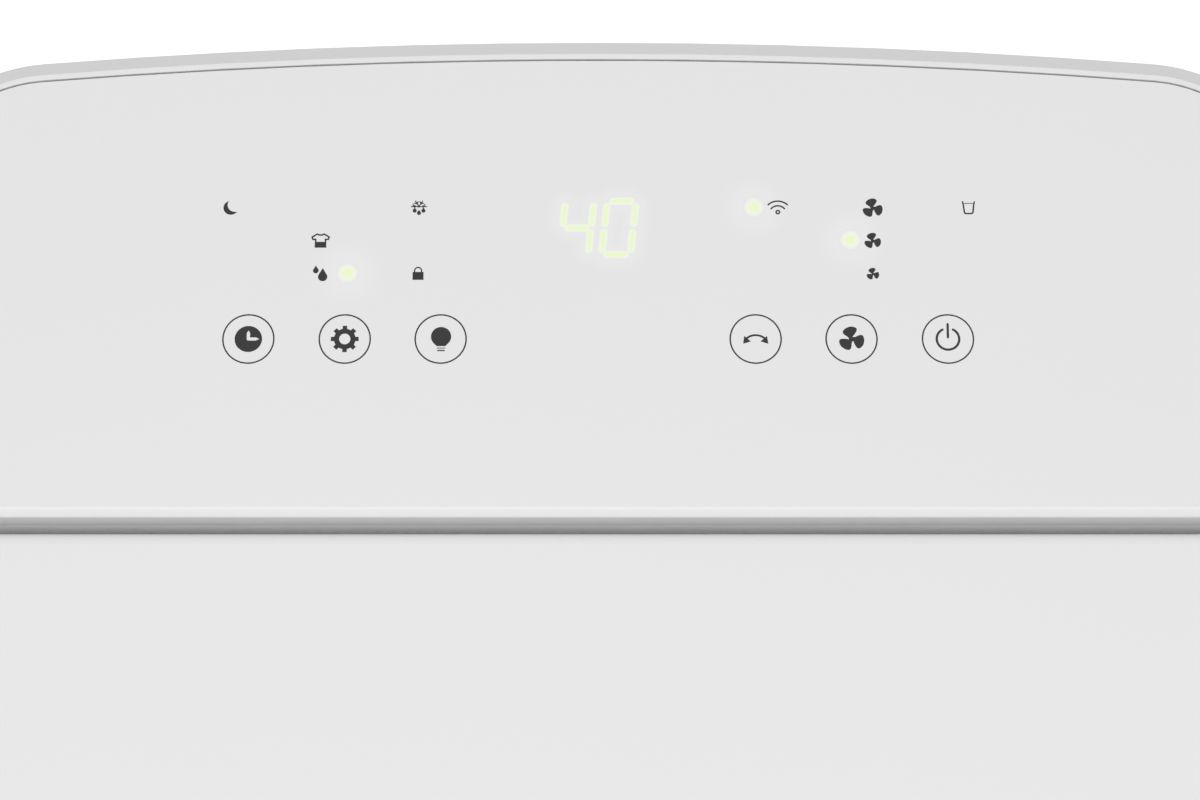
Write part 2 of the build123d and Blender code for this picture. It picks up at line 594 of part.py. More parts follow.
def compressor_rotor():
    """Motor rotor with the shaft that runs down into the pump."""
    return rod_z(COMP_X, COMP_Y, 128, 202, ROTOR_R) + rod_z(COMP_X, COMP_Y, 78, 212, CRANK_R)


def compressor_pump():
    pump = rod_z(COMP_X, COMP_Y, 76, 112, CORE_R)
    pump -= rod_z(COMP_X, COMP_Y, 77, 120, CRANK_R + FIT)
    return pump - pump_port()


def compressor_grommets():
    """Rubber mounts: the foot plate sits in each one's waist."""
    made = []
    feet_top = FOOT_Z + FOOT_T
    for x, y in foot_places():
        mount = rod_z(x, y, BOSS_TOP, FOOT_Z, BOSS_R) + rod_z(x, y, feet_top, GROMMET_TOP, 7)
        mount += rod_z(x, y, FOOT_Z, feet_top, GROMMET_WAIST_R)
        made.append(mount - rod_z(x, y, BOSS_TOP - 4, GROMMET_TOP + 10, MOUNT_BOLT_R + FIT))
    return made


def accumulator():
    """Suction accumulator beside the compressor with its elbow into the pump."""
    x, y = ACCUMULATOR_X, COMP_Y
    tank = fillet(rod_z(x, y, 104, 200, 17).edges(), 8)
    tank -= fillet(rod_z(x, y, 106, 198, 15).edges(), 6) + rod_z(x, y, 190, 210, 4 + FIT)
    tank -= rod_z(x, y, 100, 108, 4)
    elbow = [(x, y, 105), (x, y, PUMP_PORT_Z), (COMP_X - 44, y, PUMP_PORT_Z)]
    return tank + tube(elbow, [12], PUMP_PORT_R, PUMP_PORT_R - 0.8)


def suction_pipe():
    """Evaporator outlet down to the accumulator."""
    y = EVAPORATOR_Y
    top = pass_heights()[-1]
    x = ACCUMULATOR_X
    points = [(116, y, top), (140, y, top), (140, 92, top), (140, 92, 250), (x, 92, 250)]
    points += [(x, COMP_Y, 250), (x, COMP_Y, 191)]
    return tube(points, [9, 9, 14, 14, 14], 4, 3.2)


def discharge_pipe():
    """Compressor top up to the condenser inlet."""
    y, top, x = CONDENSER_Y, pass_heights()[-1], COMP_X + DISCHARGE_OFFSET
    points = [(x, COMP_Y, 233), (x, COMP_Y, 252), (131, COMP_Y, 252), (131, COMP_Y, top)]
    points += [(131, y, top), (116, y, top)]
    return tube(points, [9, 9, 9, 7], DISCHARGE_R, DISCHARGE_R - 0.8)


def liquid_line():
    """Condenser outlet, filter drier and capillary back to the evaporator: three solids."""
    z = pass_heights()[0]
    lead = tube([(116, CONDENSER_Y, z), (141, CONDENSER_Y, z), (141, CONDENSER_Y, 312)], [10], 3, 2.3)
    drier = fillet(rod_z(141, CONDENSER_Y, 312, 372, 8).edges(), 4)
    y = EVAPORATOR_Y
    points = [(141, CONDENSER_Y, 372), (141, CONDENSER_Y, 392), (141, y, 392), (141, y, z), (116, y, z)]
    return lead, drier, tube(points, [9, 9, 9], 1.3, 0.5)


# ---- electrics ----------------------------------------------------------------------------------
def power_box():
    """Flame-retardant box for the relay board, open towards the left side."""
    return box(-165, -131, 6, 76, 290, 400) - box(-170, -133, 8, 74, 292, 398)


def power_board():
    """Relay board and the motor's run capacitor, as separate solids."""
    board = box(-137, -135.4, 10, 72, 294, 396) + box(-150, -137, 14, 32, 300, 330)
    board += box(-153, -137, 40, 62, 298, 320) + box(-147, -137, 14, 60, 376, 390)
    return board, rod_z(-151, 56, 326, 370, 11)


def display_board():
    """Circuit board under the panel on its posts."""
    return box(-126, 126, 12, 102, BOARD_Z, BOARD_TOP)


def digit_display():
    """Two-digit seven-segment display module."""
    return box(-13, 13, DIGITS_Y - 10, DIGITS_Y + 10, BOARD_TOP, UNDER_PANEL_Z)


def lamp_places():
    """Indicator lamps: which of the button columns has a lamp in which row."""
    low, mid, high = LAMP_ROWS
    inner, second, outer = BUTTON_X
    left = [(-outer, high), (-second, mid), (-second, low), (-inner, high), (-inner, low)]
    right = [(inner, high), (second, high), (second, mid), (second, low), (outer, high)]
    return left + right


def indicator_lamps():
    """Surface-mounted lamps in their light guides."""
    return [rod_z(x, y, BOARD_TOP, UNDER_PANEL_Z, 1.6) for x, y in lamp_places()]


def touch_pads():
    """Conductive foam pads between the board and the touch areas."""
    return [rod_z(x, BUTTON_Y, BOARD_TOP, UNDER_PANEL_Z, 4.5) for x in sides(*BUTTON_X)]


def humidity_sensor():
    sensor = box(-135, -122, 103.5, 108, 330, 352)
    return sensor - box(-132, -125, 107, 110, 334, 348)


# ---- water tank ---------------------------------------------------------------------------------
def tank_outline(grow=0.0):
    """Plan of the tank: a rectangle that follows the bowed front."""
    whole = rounded(-TANK_X - grow, TANK_X + grow, TANK_Y0 - 10, TANK_Y1 + grow, 10 + grow)
    return whole & plan(7.5 - grow)


def tank_body():
    """Translucent bucket with a pivot stud on each side for the handle."""
    bucket = along_z(tank_outline(), TANK_Z0, TANK_Z1)
    bucket = fillet(bucket.faces().sort_by(Axis.Z)[0].edges(), 4)
    bucket -= along_z(tank_outline(-TANK_WALL), TANK_Z0 + TANK_WALL, TANK_Z1 + 1)
    studs = rod_x(-TANK_X - 8, -TANK_X + 1, BAIL_Y, BAIL_Z, STUD_R)
    return bucket + studs + rod_x(TANK_X - 1, TANK_X + 8, BAIL_Y, BAIL_Z, STUD_R)


def tank_lid():
    """Lid with the filling hole under the spout, a dropped rim and the float's hinge lugs."""
    lid = along_z(tank_outline(), TANK_Z1 + 0.1, TANK_Z1 + 3)
    rim = along_z(tank_outline(-TANK_WALL - 0.3) - tank_outline(-TANK_WALL - 2.3), 194, TANK_Z1 + 2)
    lid += rim
    for x in (-120.0, -96.0):
        lid += box(x - 1.5, x + 1.5, FLOAT_Y - 5, FLOAT_Y + 5, FLOAT_Z - 4, TANK_Z1 + 1)
    lid -= rod_x(-125, -90, FLOAT_Y, FLOAT_Z, 1.5 + FIT)
    return lid - along_z(rounded(-32, 32, -56, -26, 6), 190, 210)


def tank_handle():
    """Carrying bail: two arms and a grip bar, folded down on the lid."""
    bail = Part()
    turn = math.degrees(math.atan2(BAIL_BAR_Z - BAIL_Z, BAIL_BAR_Y - BAIL_Y))
    reach = math.hypot(BAIL_BAR_Z - BAIL_Z, BAIL_BAR_Y - BAIL_Y)
    place = Pos((BAIL_Y + BAIL_BAR_Y) / 2, (BAIL_Z + BAIL_BAR_Z) / 2) * Rot(0, 0, turn)
    arm = place * SlotCenterToCenter(reach, 11)
    for side in (1, -1):
        x0, x1 = sorted((side * (TANK_X + 2), side * (TANK_X + 6)))
        bail += along_x(arm, x0, x1) - rod_x(-BODY_W, BODY_W, BAIL_Y, BAIL_Z, STUD_R + FIT)
    bar = rod_x(-TANK_X - 3, TANK_X + 3, BAIL_BAR_Y, BAIL_BAR_Z, 5)
    return bail + bar


def scoop(grow=0.0):
    """Space of the finger grip in the drawer front, or its casing when grown."""
    return along_z(rounded(-55 - grow, 55 + grow, -140, -96 + grow, 10 + grow), 206 - grow, DRAWER_TOP + 9)


def tank_front():
    """Drawer front that wraps round the corners, with the finger grip and window slot."""
    z0, z1 = BASE_TOP + SEAM, DRAWER_TOP - SEAM
    front = along_z(plan() - plan(WALL), z0, z1) & box(-BODY_W, BODY_W, -BODY_D, DRAWER_Y, 0, BODY_H)
    solid = along_z(plan(), z0, z1)
    front = front + (scoop(2.5) & solid) - scoop()
    for x in sides(70.0, 128.0):
        rib = box(x - 1.5, x + 1.5, -119, -106, 80, 190) & solid
        front += rib - along_z(tank_outline(0.05), 0, 300)
    return front - window_slot(0.1)


def window_slot(grow=0.0):
    return along_y(Pos(0, 138) * SlotOverall(86 + 2 * grow, 13 + 2 * grow, rotation=90), -130, -100)


def tank_window():
    """Clear strip in the drawer front that shows the water level."""
    band = along_z(plan(0.3) - plan(WALL), 80, 200)
    return band & window_slot()


def tank_float():
    """Foam float on an arm that hinges under the lid."""
    arm = box(-114, -102, FLOAT_Y - 4, FLOAT_Y + 14, FLOAT_Z - 4, FLOAT_Z + 4)
    arm += box(-112, -104, FLOAT_Y + 8, FLOAT_Y + 26, FLOAT_Z - 26, FLOAT_Z - 2)
    body = box(-126, -90, FLOAT_Y + 22, FLOAT_Y + 60, FLOAT_Z - 34, FLOAT_Z - 16)
    pin = rod_x(-121, -95, FLOAT_Y, FLOAT_Z, 1.5)
    return arm + fillet(body.edges(), 3) + pin


def float_sensor():
    """Magnetic switch behind the tank that the float's magnet closes."""
    return box(-118, -98, -7.6, -3.1, 168, 188)


def chassis_partition():
    """Wall behind the drawer and ceiling over it, with the hole for the spout."""
    top = CEILING_Z + CEILING_T
    wall = box(-166, 166, -3, -0.8, BASE_Z + PAN_FLOOR, CEILING_Z)
    area = box(-BODY_W, BODY_W, -BODY_D, -0.8, CEILING_Z, top)
    ceiling = along_z(plan(WALL + 0.6), CEILING_Z, top) & area
    return wall + ceiling - rod_z(*SPOUT, CEILING_Z - 8, top + 9.5, STUB_R + 1)


# ---- small outside pieces -----------------------------------------------------------------------
def drain_plug():
    """Rubber bung in the hose spigot."""
    return rod_y(SPIGOT_X, SPIGOT_Z, 100, 114, SPIGOT_BORE - FIT) + rod_y(SPIGOT_X, SPIGOT_Z, 114, 117, 6.4)


def cord_gland():
    """Strain-relief bush for the power lead."""
    gland = rod_y(GLAND_X, GLAND_Z, 102, 118, GLAND_R - FIT)
    gland += rod_y(GLAND_X, GLAND_Z, 116.6, 118.6, GLAND_FLANGE_R)
    return gland - rod_y(GLAND_X, GLAND_Z, 90, 130, GLAND_BORE)


def fasteners():
    """Casing screws in the back, motor screws on the fan and bolts through the rubber mounts."""
    head_z = GROMMET_TOP + 0.2
    made = []
    for x, y in foot_places():
        washer = rod_z(x, y, head_z, head_z + 1.8, 6.5)
        made.append(rod_z(x, y, BOSS_TOP, head_z + 5.8, MOUNT_BOLT_R) + washer)
    for x, z in SCREW_PLACES:
        slot = box(x - 2.4, x + 2.4, SCREW_SEAT_Y + 1.5, SCREW_SEAT_Y + 3.5, z - 0.4, z + 0.4)
        head = rod_y(x, z, SCREW_SEAT_Y, SCREW_SEAT_Y + 2.5, 3.6) - slot
        made.append(head + rod_y(x, z, 92, SCREW_SEAT_Y + 0.5, SCREW_HOLE_R - 0.1))
    for k in range(3):
        angle = math.radians(90 + 120 * k)
        x, z = 41 * math.cos(angle), FAN_Z + 41 * math.sin(angle)
        made.append(rod_y(x, z, SCROLL_Y0 - 8, SCROLL_Y0 - 5.5, 3.4))
    return made


# ---- casters ------------------------------------------------------------------------------------
def caster_fork(x, y):
    """Swivel fork with its stem, and the wheel's axle as a second solid."""
    fork = rod_z(x, y, BASE_Z - 2.6, BASE_Z - 0.6, 9) + rod_z(x, y, BASE_Z - 2, 48, STEM_R)
    half = WHEEL_W / 2 + 0.5
    outline = [(-8, BASE_Z - 2.6), (8, BASE_Z - 2.6), (TRAIL + 4, WHEEL_RADIUS - 2)]
    outline += [(TRAIL - 2, WHEEL_RADIUS - 4.5), (TRAIL - 5, WHEEL_RADIUS - 1)]
    cheek = Pos(y, 0) * Polygon(*outline, align=None)
    for side in (1, -1):
        x0, x1 = sorted((x + side * half, x + side * (half + 2)))
        fork += along_x(cheek, x0, x1)
    axle_y = y + TRAIL
    fork -= rod_x(x - 20, x + 20, axle_y, WHEEL_RADIUS, AXLE_R)
    return fork, rod_x(x - half - 2, x + half + 2, axle_y, WHEEL_RADIUS, AXLE_R)


def caster_wheel(x, y):
    wheel = rod_x(x - WHEEL_W / 2, x + WHEEL_W / 2, y + TRAIL, WHEEL_RADIUS, WHEEL_RADIUS)
    wheel = fillet(wheel.edges(), 1.2)
    return wheel - rod_x(x - 20, x + 20, y + TRAIL, WHEEL_RADIUS, AXLE_R + FIT)


CASTERS = {
    "front_left": (-CASTER_X, -CASTER_Y),
    "front_right": (CASTER_X, -CASTER_Y),
    "rear_left": (-CASTER_X, CASTER_Y),
    "rear_right": (CASTER_X, CASTER_Y),
}

SINGLE = [
    base_pan, front_shell, rear_shell, top_cover, control_panel, rear_grille, air_filter,
    outlet_flap, flap_sector, flap_pinion, flap_stepper, outlet_grille,
    fan_scroll, fan_bulkhead, fan_motor, blower_shaft, blower_wheel, drain_pan, drain_hose,
    compressor_body, compressor_cap, compressor_stator, compressor_rotor, compressor_pump,
    accumulator, suction_pipe, discharge_pipe, power_box, display_board, digit_display,
    humidity_sensor, tank_body, tank_lid, tank_handle, tank_front, tank_window, tank_float,
    float_sensor, chassis_partition, drain_plug, cord_gland,
]
GROUPS = [
    coil_end_plates, compressor_grommets, liquid_line, power_board, indicator_lamps,
    touch_pads, fasteners,
]

for make in SINGLE:
    save(make.__name__, make())
for make in GROUPS:
    save(make.__name__, *make())
for name, y in (("condenser", CONDENSER_Y), ("evaporator", EVAPORATOR_Y)):
    save(f"{name}_fins", *coil_fins(y))
    save(f"{name}_tubes", coil_tubes(y))
for name, (x, y) in CASTERS.items():
    save(f"caster_fork_{name}", *caster_fork(x, y))
    save(f"caster_wheel_{name}", caster_wheel(x, y))
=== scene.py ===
"""Looks of a compressor dehumidifier: materials, printed symbols, lit digits, trim and studio."""

import json
import math

import bmesh
import bpy
from mathutils import Matrix, Vector

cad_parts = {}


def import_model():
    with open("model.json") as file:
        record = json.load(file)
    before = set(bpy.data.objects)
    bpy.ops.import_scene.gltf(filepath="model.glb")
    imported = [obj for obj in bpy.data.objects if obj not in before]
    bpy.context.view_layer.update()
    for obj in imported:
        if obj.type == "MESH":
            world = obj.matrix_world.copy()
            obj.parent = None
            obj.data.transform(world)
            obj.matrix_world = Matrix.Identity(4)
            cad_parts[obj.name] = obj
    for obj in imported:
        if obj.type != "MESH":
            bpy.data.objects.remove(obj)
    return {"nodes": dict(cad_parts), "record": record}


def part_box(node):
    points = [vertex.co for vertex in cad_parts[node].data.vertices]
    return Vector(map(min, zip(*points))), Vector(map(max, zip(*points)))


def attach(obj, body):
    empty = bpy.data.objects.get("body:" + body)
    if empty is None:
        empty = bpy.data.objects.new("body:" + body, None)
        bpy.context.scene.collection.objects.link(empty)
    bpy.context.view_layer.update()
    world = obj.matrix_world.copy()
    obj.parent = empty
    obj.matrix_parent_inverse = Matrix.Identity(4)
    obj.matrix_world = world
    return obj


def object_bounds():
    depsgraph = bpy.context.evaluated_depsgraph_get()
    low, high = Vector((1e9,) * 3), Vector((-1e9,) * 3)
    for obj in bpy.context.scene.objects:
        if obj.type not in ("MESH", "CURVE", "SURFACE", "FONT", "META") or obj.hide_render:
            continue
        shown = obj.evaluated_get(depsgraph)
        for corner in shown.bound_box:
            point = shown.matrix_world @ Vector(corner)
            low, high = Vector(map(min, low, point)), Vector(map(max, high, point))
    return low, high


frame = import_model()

CAD_LOW, CAD_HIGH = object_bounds()
MM = 0.001
TOP = CAD_HIGH.z
FACE_R = 1.64  # bow of the front face, in metres

# ---- control panel layout, millimetres across (X) and back (Y) on the top face -------------------
BUTTON_X = (37.68, 60.62, 83.68)
BUTTON_Y = 41.4
ROW_LOW, ROW_MID, ROW_HIGH = 58.0, 66.46, 74.86
FAN_DROP = 0.12  # the speed symbols sit a little under the middle of their rows
RING_R, RING_LINE = 6.09, 0.36
INK_RISE = 0.02 * MM  # printed ink stands this far off the panel
INK_DEPTH = 0.06 * MM
INK_STEP = 0.003 * MM  # overlapping shapes of one symbol differ by this in height

# seven-segment digits: half sizes between the middles of opposite segments
DIGIT_X, DIGIT_Y, DIGIT_PITCH = -0.1, 69.68, 10.14
DIGIT_HALF_W, DIGIT_HALF_H = 3.46, 6.85
DIGIT_SLANT = math.tan(math.radians(6.2))
BAR_HALF, POST_NEAR, POST_FAR = 2.12, 1.18, 5.5
LIT_CORE_R, LAMP_CORE_R = 0.25, 0.45
LIT_LAMPS = ((-60.26, 58.1), (60.83, 66.6), (37.61, 75.0))

# how light spreads in the panel: the distances over which it fades, and its colours
LAMP_SOFT, LAMP_SHIFT = 0.52, -0.19  # a lamp fades more slowly than a segment
CORE_FADE, HALO_FADE, HALO_LEVEL = (0.15, 1.4), (0.4, 5.0), 0.035
LIT, LIT_UNDER, HALO = (0.755, 0.86, 0.55), (0.04, 0.05, 0.03), (1.0, 1.0, 0.97)

# seal in the groove before the flap: its ends, and its section as (Y, depth under the top face)
SEAL_X = (-149.5, 163.5)
SEAL_PROFILE = ((-2.3, 2.0), (-2.45, 2.1), (-3.2, 6.2), (-4.95, 9.1), (-2.3, 9.1))

# ---- studio --------------------------------------------------------------------------------------
CAMERA_AIM_Y, CAMERA_REACH, CAMERA_TILT = 26.07 * MM, 1.0, 17.8
CAMERA_ASIDE = 0.44 * MM
LENS, SENSOR = 126.0, 36.0
FLOOR_R, FLOOR_GLOW = 40.0, 0.5
KEY_ASIDE, KEY_BACK, KEY_UP, KEY_SIZE, KEY_POWER = -0.06, -0.85, 1.45, 1.0, 11.5
# brightness of the surround, from straight below (0) through the horizon (0.5) to overhead (1)
SURROUND = ((0.0, 0.66), (0.47, 0.72), (0.5, 1.0), (0.56, 0.97), (0.75, 0.7), (1.0, 0.69))


# ---- outlines, as lists of (x, y) in millimetres -------------------------------------------------
def arc(radius, start, end, x=0.0, y=0.0, steps=32):
    """Points along an arc between two angles in degrees."""
    turns = [math.radians(start + (end - start) * k / steps) for k in range(steps + 1)]
    return [(x + radius * math.cos(t), y + radius * math.sin(t)) for t in turns]


def circle(radius, x=0.0, y=0.0, steps=72):
    """Points round a full circle."""
    return arc(radius, 0, 360, x, y, steps)[:-1]


def beside(points, offset, closed=False):
    """The line moved sideways by offset, with mitred corners."""
    moved = []
    count = len(points)
    for k, point in enumerate(points):
        here = Vector(point)
        before = Vector(points[k - 1]) if closed or k else None
        after = Vector(points[(k + 1) % count]) if closed or k < count - 1 else None
        runs = [(here - before).normalized()] if before else []
        runs += [(after - here).normalized()] if after else []
        normals = [Vector((-run.y, run.x)) for run in runs]
        middle = sum(normals, Vector((0, 0))).normalized()
        moved.append(tuple(here + middle * offset / max(middle.dot(normals[0]), 0.3)))
    return moved


def band(points, width, round_ends=True):
    """Outline of a line of some width."""
    left, right = beside(points, width / 2), beside(points, -width / 2)
    if not round_ends:
        return left + right[::-1]
    ends = []
    for tip, inner in ((points[-1], points[-2]), (points[0], points[1])):
        heading = math.degrees(math.atan2(tip[1] - inner[1], tip[0] - inner[0]))
        ends.append(arc(width / 2, heading + 90, heading - 90, *tip, steps=8)[1:-1])
    return left + ends[0] + right[::-1] + ends[1]


def closed_band(points, width):
    """Two outlines, outside and inside a closed line."""
    return [beside(points, width / 2, True), beside(points, -width / 2, True)]


def smooth(points, steps=6):
    """A closed curve through the points."""
    made = []
    count = len(points)
    for k in range(count):
        p0, p1, p2, p3 = (Vector(points[(k + i - 1) % count]) for i in range(4))
        for s in range(steps):
            t = s / steps
            a = 2 * p1 + (p2 - p0) * t + (2 * p0 - 5 * p1 + 4 * p2 - p3) * t**2
            made.append(tuple((a + (3 * p1 - p0 - 3 * p2 + p3) * t**3) / 2))
    return made


def turned(points, degrees, scale=1.0):
    """The points turned about the origin and scaled."""
    turn = math.radians(degrees)
    c, s = math.cos(turn) * scale, math.sin(turn) * scale
    return [(x * c - y * s, x * s + y * c) for x, y in points]


def mirrored(points):
    """The points, then their mirror images on the left, as one outline."""
    return points + [(-x, y) for x, y in reversed(points)]


def drop(x, y, radius, reach):
    """A drop whose tip is reach above its round part's centre."""
    open_angle = math.degrees(math.acos(radius / reach))
    return [(x, y + reach)] + arc(radius, 90 + open_angle, 450 - open_angle, x, y)


# ---- symbols: each is a list of shapes, and a shape is a list of outlines ------------------------
def clock():
    w = 0.4
    hands = [(-w, 1.5), (0, 2.15), (w, 1.5), (w, w), (1.8, w), (2.65, 0), (1.8, -w)]
    return [[circle(3.28), hands + arc(w, 270, 180, steps=6)]]


def cog():
    tip, body, half = 3.32, 2.6, 0.535
    flank = math.degrees(math.asin(half / body))
    outline = []
    for k in range(8):
        tooth = [(body * math.cos(math.radians(flank)), -half), (tip, -half), (tip, half)]
        valley = arc(body, flank, 45 - flank, steps=6)
        outline += turned(tooth + valley[:-1], 45 * k)
    return [[outline, circle(1.35)]]


def bulb():
    globe = arc(2.42, -42, 222, 0.1, 0.6) + [(-0.93, -1.8), (1.13, -1.8)]
    return [
        [globe],
        [band([(-0.9, -2.3), (1.1, -2.3)], 0.2, False)],
        [band([(-0.8, -2.92), (1.0, -2.92)], 0.3, False)],
    ]


def swing():
    bow = band(arc(3.34, 49.5, 130.5, 0, -2.38), 0.48, False)
    head = [(3.02, -1.2), (2.72, 0.78), (1.16, -0.62)]
    return [[bow], [head], [[(-x, y) for x, y in head]]]


def fan(size=1.0):
    """Three blades about a hub."""
    blade = [(0.24, 0.65), (0.77, 1.25), (1.25, 2.13), (1.15, 2.75), (0.42, 3.09), (-0.42, 3.09)]
    blade += [(-1.37, 2.69), (-1.96, 2.13), (-2.08, 1.63), (-1.67, 1.06)]
    blade += [(-0.89, 0.5), (-0.48, 0.0)]
    return [[turned(smooth(blade), 120 * k, size)] for k in range(3)] + [[circle(0.62 * size)]]


def power():
    line = 0.56
    return [[band(arc(2.69, 117.8, 422.2, steps=60), line)], [band([(0, 0.4), (0, 3.72)], line)]]


def moon():
    radius, dx, dy = 1.8, 0.98, 0.74
    heading = math.degrees(math.atan2(dy, dx))
    meet = math.degrees(math.acos(math.hypot(dx, dy) / 2 / radius))
    outside = arc(radius, heading + meet, heading + 360 - meet)
    inside = arc(radius, heading + 180 + meet, heading + 180 - meet, dx, dy)
    return [[outside + inside[1:-1]]]


def shirt():
    right = [(0.35, 1.4), (0.84, 1.64), (2.06, 0.84), (1.83, 0.27), (1.18, 0.27), (1.2, -1.66)]
    fill = [(1.2, -0.37), (1.2, -1.66), (-1.2, -1.66), (-1.2, -0.37)]
    return [closed_band(mirrored(right), 0.38), [fill]]


def drops():
    return [[drop(-1.0, 0.74, 0.68, 1.3)], [drop(0.67, -0.83, 1.12, 2.2)]]


def frost():
    """The upper half of a snowflake, with a knot where its arms fork, over three drops."""
    line, knot, hub = 0.24, 0.3, 0.3
    near, far = (1.03, 0.02), (0.54, 0.86)
    lines = [((0, 0), (1.85, 0)), ((0, 0), (0.88, 1.4)), (near, (1.45, 0.5))]
    lines += [(far, (0.2, 1.25)), (far, (1.12, 0.8))]
    shapes = [[circle(knot, 0, hub + 0.05)]]
    for side in (1, -1):
        for ends in lines:
            shapes.append([band([(side * x, y + hub) for x, y in ends], line)])
        for x, y in (near, far):
            shapes.append([circle(knot, side * x, y + hub)])
    spots = ((-1.03, -0.78), (0.02, -1.39), (1.08, -0.78))
    return shapes + [[drop(x, y, 0.47, 0.8)] for x, y in spots]


def padlock():
    body = [(-1.31, -1.6), (1.31, -1.6), (1.31, 0.4), (-1.31, 0.4)]
    shackle = [(0.84, 0.3), (0.84, 0.72)] + arc(0.84, 0, 180, 0, 0.72, 16)[1:] + [(-0.84, 0.3)]
    return [[body], [band(shackle, 0.31, False)]]


def wireless():
    low = -1.12
    waves = ((2.12, 50, 1.62), (3.36, 43.5, 2.82))
    shapes = [[circle(0.6, 0, low), circle(0.24, 0, low)]]
    for radius, half, peak in waves:
        shapes.append([band(arc(radius, 90 - half, 90 + half, 0, low + peak - radius), 0.37)])
    return shapes


def bucket():
    wall = [(1.43, 1.5), (1.28, 0.9), (1.05, -1.05)] + arc(0.4, 0, -90, 0.62, -1.1, 6)
    rim = band([(-1.05, 1.13), (1.05, 1.13)], 0.18, False)
    return [[band(mirrored(wall), 0.37)], [rim]]


SYMBOLS = {
    "clock": (clock(), -BUTTON_X[2], BUTTON_Y),
    "cog": (cog(), -BUTTON_X[1], BUTTON_Y),
    "bulb": (bulb(), -BUTTON_X[0], BUTTON_Y),
    "swing": (swing(), BUTTON_X[0], BUTTON_Y),
    "fan": (fan(), BUTTON_X[1], BUTTON_Y),
    "power": (power(), BUTTON_X[2], BUTTON_Y),
    "moon": (moon(), -88.74, ROW_HIGH),
    "shirt": (shirt(), -66.9, ROW_MID),
    "drops": (drops(), -66.9, ROW_LOW),
    "frost": (frost(), -43.3, ROW_HIGH),
    "padlock": (padlock(), -43.3, ROW_LOW),
    "wireless": (wireless(), 43.4, ROW_HIGH),
    "fan_high": (fan(0.8), 66.3, ROW_HIGH - FAN_DROP),
    "fan_middle": (fan(0.66), 66.15, ROW_MID - FAN_DROP),
    "fan_low": (fan(0.5), 66.04, ROW_LOW - FAN_DROP),
    "bucket": (bucket(), 89.5, ROW_HIGH),
}


def lit_segments():
    """Ends of every lit segment of the number 40, in panel millimetres."""
    w, h = DIGIT_HALF_W, DIGIT_HALF_H
    segments = {}
    for name, y in (("a", h), ("g", 0), ("d", -h)):
        segments[name] = ((-BAR_HALF, y), (BAR_HALF, y))
    for name, x, side in (("f", -w, 1), ("b", w, 1), ("e", -w, -1), ("c", w, -1)):
        segments[name] = ((x, side * POST_NEAR), (x, side * POST_FAR))
    made = []
    for place, lit in ((-0.5, "fgbc"), (0.5, "abcdef")):
        middle = DIGIT_X + place * DIGIT_PITCH
        for name in lit:
            made.append([(middle + x + DIGIT_SLANT * y, DIGIT_Y + y) for x, y in segments[name]])
    return made


# ---- meshes --------------------------------------------------------------------------------------
def add_object(name, mesh, body, material):
    """A piece that rides on a CAD body, with the material it is given."""
    piece = bpy.data.objects.new(name, mesh)
    bpy.context.scene.collection.objects.link(piece)
    mesh.materials.append(material)
    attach(piece, body)
    return piece


def plate(shapes, x, y, low, high):
    """Closed flat shapes with their holes, lying on the XY plane, as one bmesh."""
    made = bmesh.new()
    for k, outlines in enumerate(shapes):
        curve = bpy.data.curves.new("outline", "CURVE")
        curve.dimensions = "2D"
        curve.fill_mode = "BOTH"
        rise = high + k * INK_STEP
        curve.extrude = (rise - low) / 2
        for points in outlines:
            spline = curve.splines.new("POLY")
            spline.points.add(len(points) - 1)
            for target, (px, py) in zip(spline.points, points):
                target.co = ((x + px) * MM, (y + py) * MM, 0, 1)
            spline.use_cyclic_u = True
        holder = bpy.data.objects.new("outline", curve)
        part = bpy.data.meshes.new_from_object(holder)
        part.transform(Matrix.Translation((0, 0, (rise + low) / 2)))
        made.from_mesh(part)
        bpy.data.objects.remove(holder)
        bpy.data.curves.remove(curve)
        bpy.data.meshes.remove(part)
    bmesh.ops.remove_doubles(made, verts=made.verts, dist=MM * 1e-4)
    bmesh.ops.recalc_face_normals(made, faces=made.faces)
    return made


def to_mesh(name, made, is_smooth=False):
    """The bmesh as a mesh; the bmesh is freed."""
    mesh = bpy.data.meshes.new(name)
    for face in made.faces:
        face.smooth = is_smooth
    made.to_mesh(mesh)
    made.free()
    return mesh


def lathe(name, profile, centre, steps=64):
    """A ring turned about the X direction from a closed profile of (radius, x) in millimetres."""
    made = bmesh.new()
    rings = []
    for k in range(steps):
        turn = 2 * math.pi * k / steps
        spin = Vector((0, math.cos(turn), math.sin(turn)))
        points = [centre + (spin * r + Vector((x, 0, 0))) * MM for r, x in profile]
        rings.append([made.verts.new(point) for point in points])
    for k, ring in enumerate(rings):
        after = rings[(k + 1) % steps]
        for i in range(len(profile)):
            j = (i + 1) % len(profile)
            made.faces.new((ring[i], ring[j], after[j], after[i]))
    bmesh.ops.recalc_face_normals(made, faces=made.faces)
    return to_mesh(name, made)


def prism(made, first, last):
    """A closed solid between two matching outlines."""
    low = [made.verts.new(point) for point in first]
    high = [made.verts.new(point) for point in last]
    for k in range(len(low)):
        j = (k + 1) % len(low)
        made.faces.new((low[k], low[j], high[j], high[k]))
    made.faces.new(low[::-1])
    made.faces.new(high)


def threads(name, lines, radius, sides=6):
    """Straight threads, each a closed prism between two points, in metres."""
    made = bmesh.new()
    for start, end in lines:
        along = (end - start).normalized()
        across = along.orthogonal().normalized()
        over = along.cross(across)
        spokes = []
        for k in range(sides):
            turn = 2 * math.pi * k / sides
            spokes.append((across * math.cos(turn) + over * math.sin(turn)) * radius)
        prism(made, [start + spoke for spoke in spokes], [end + spoke for spoke in spokes])
    bmesh.ops.recalc_face_normals(made, faces=made.faces)
    return to_mesh(name, made, True)


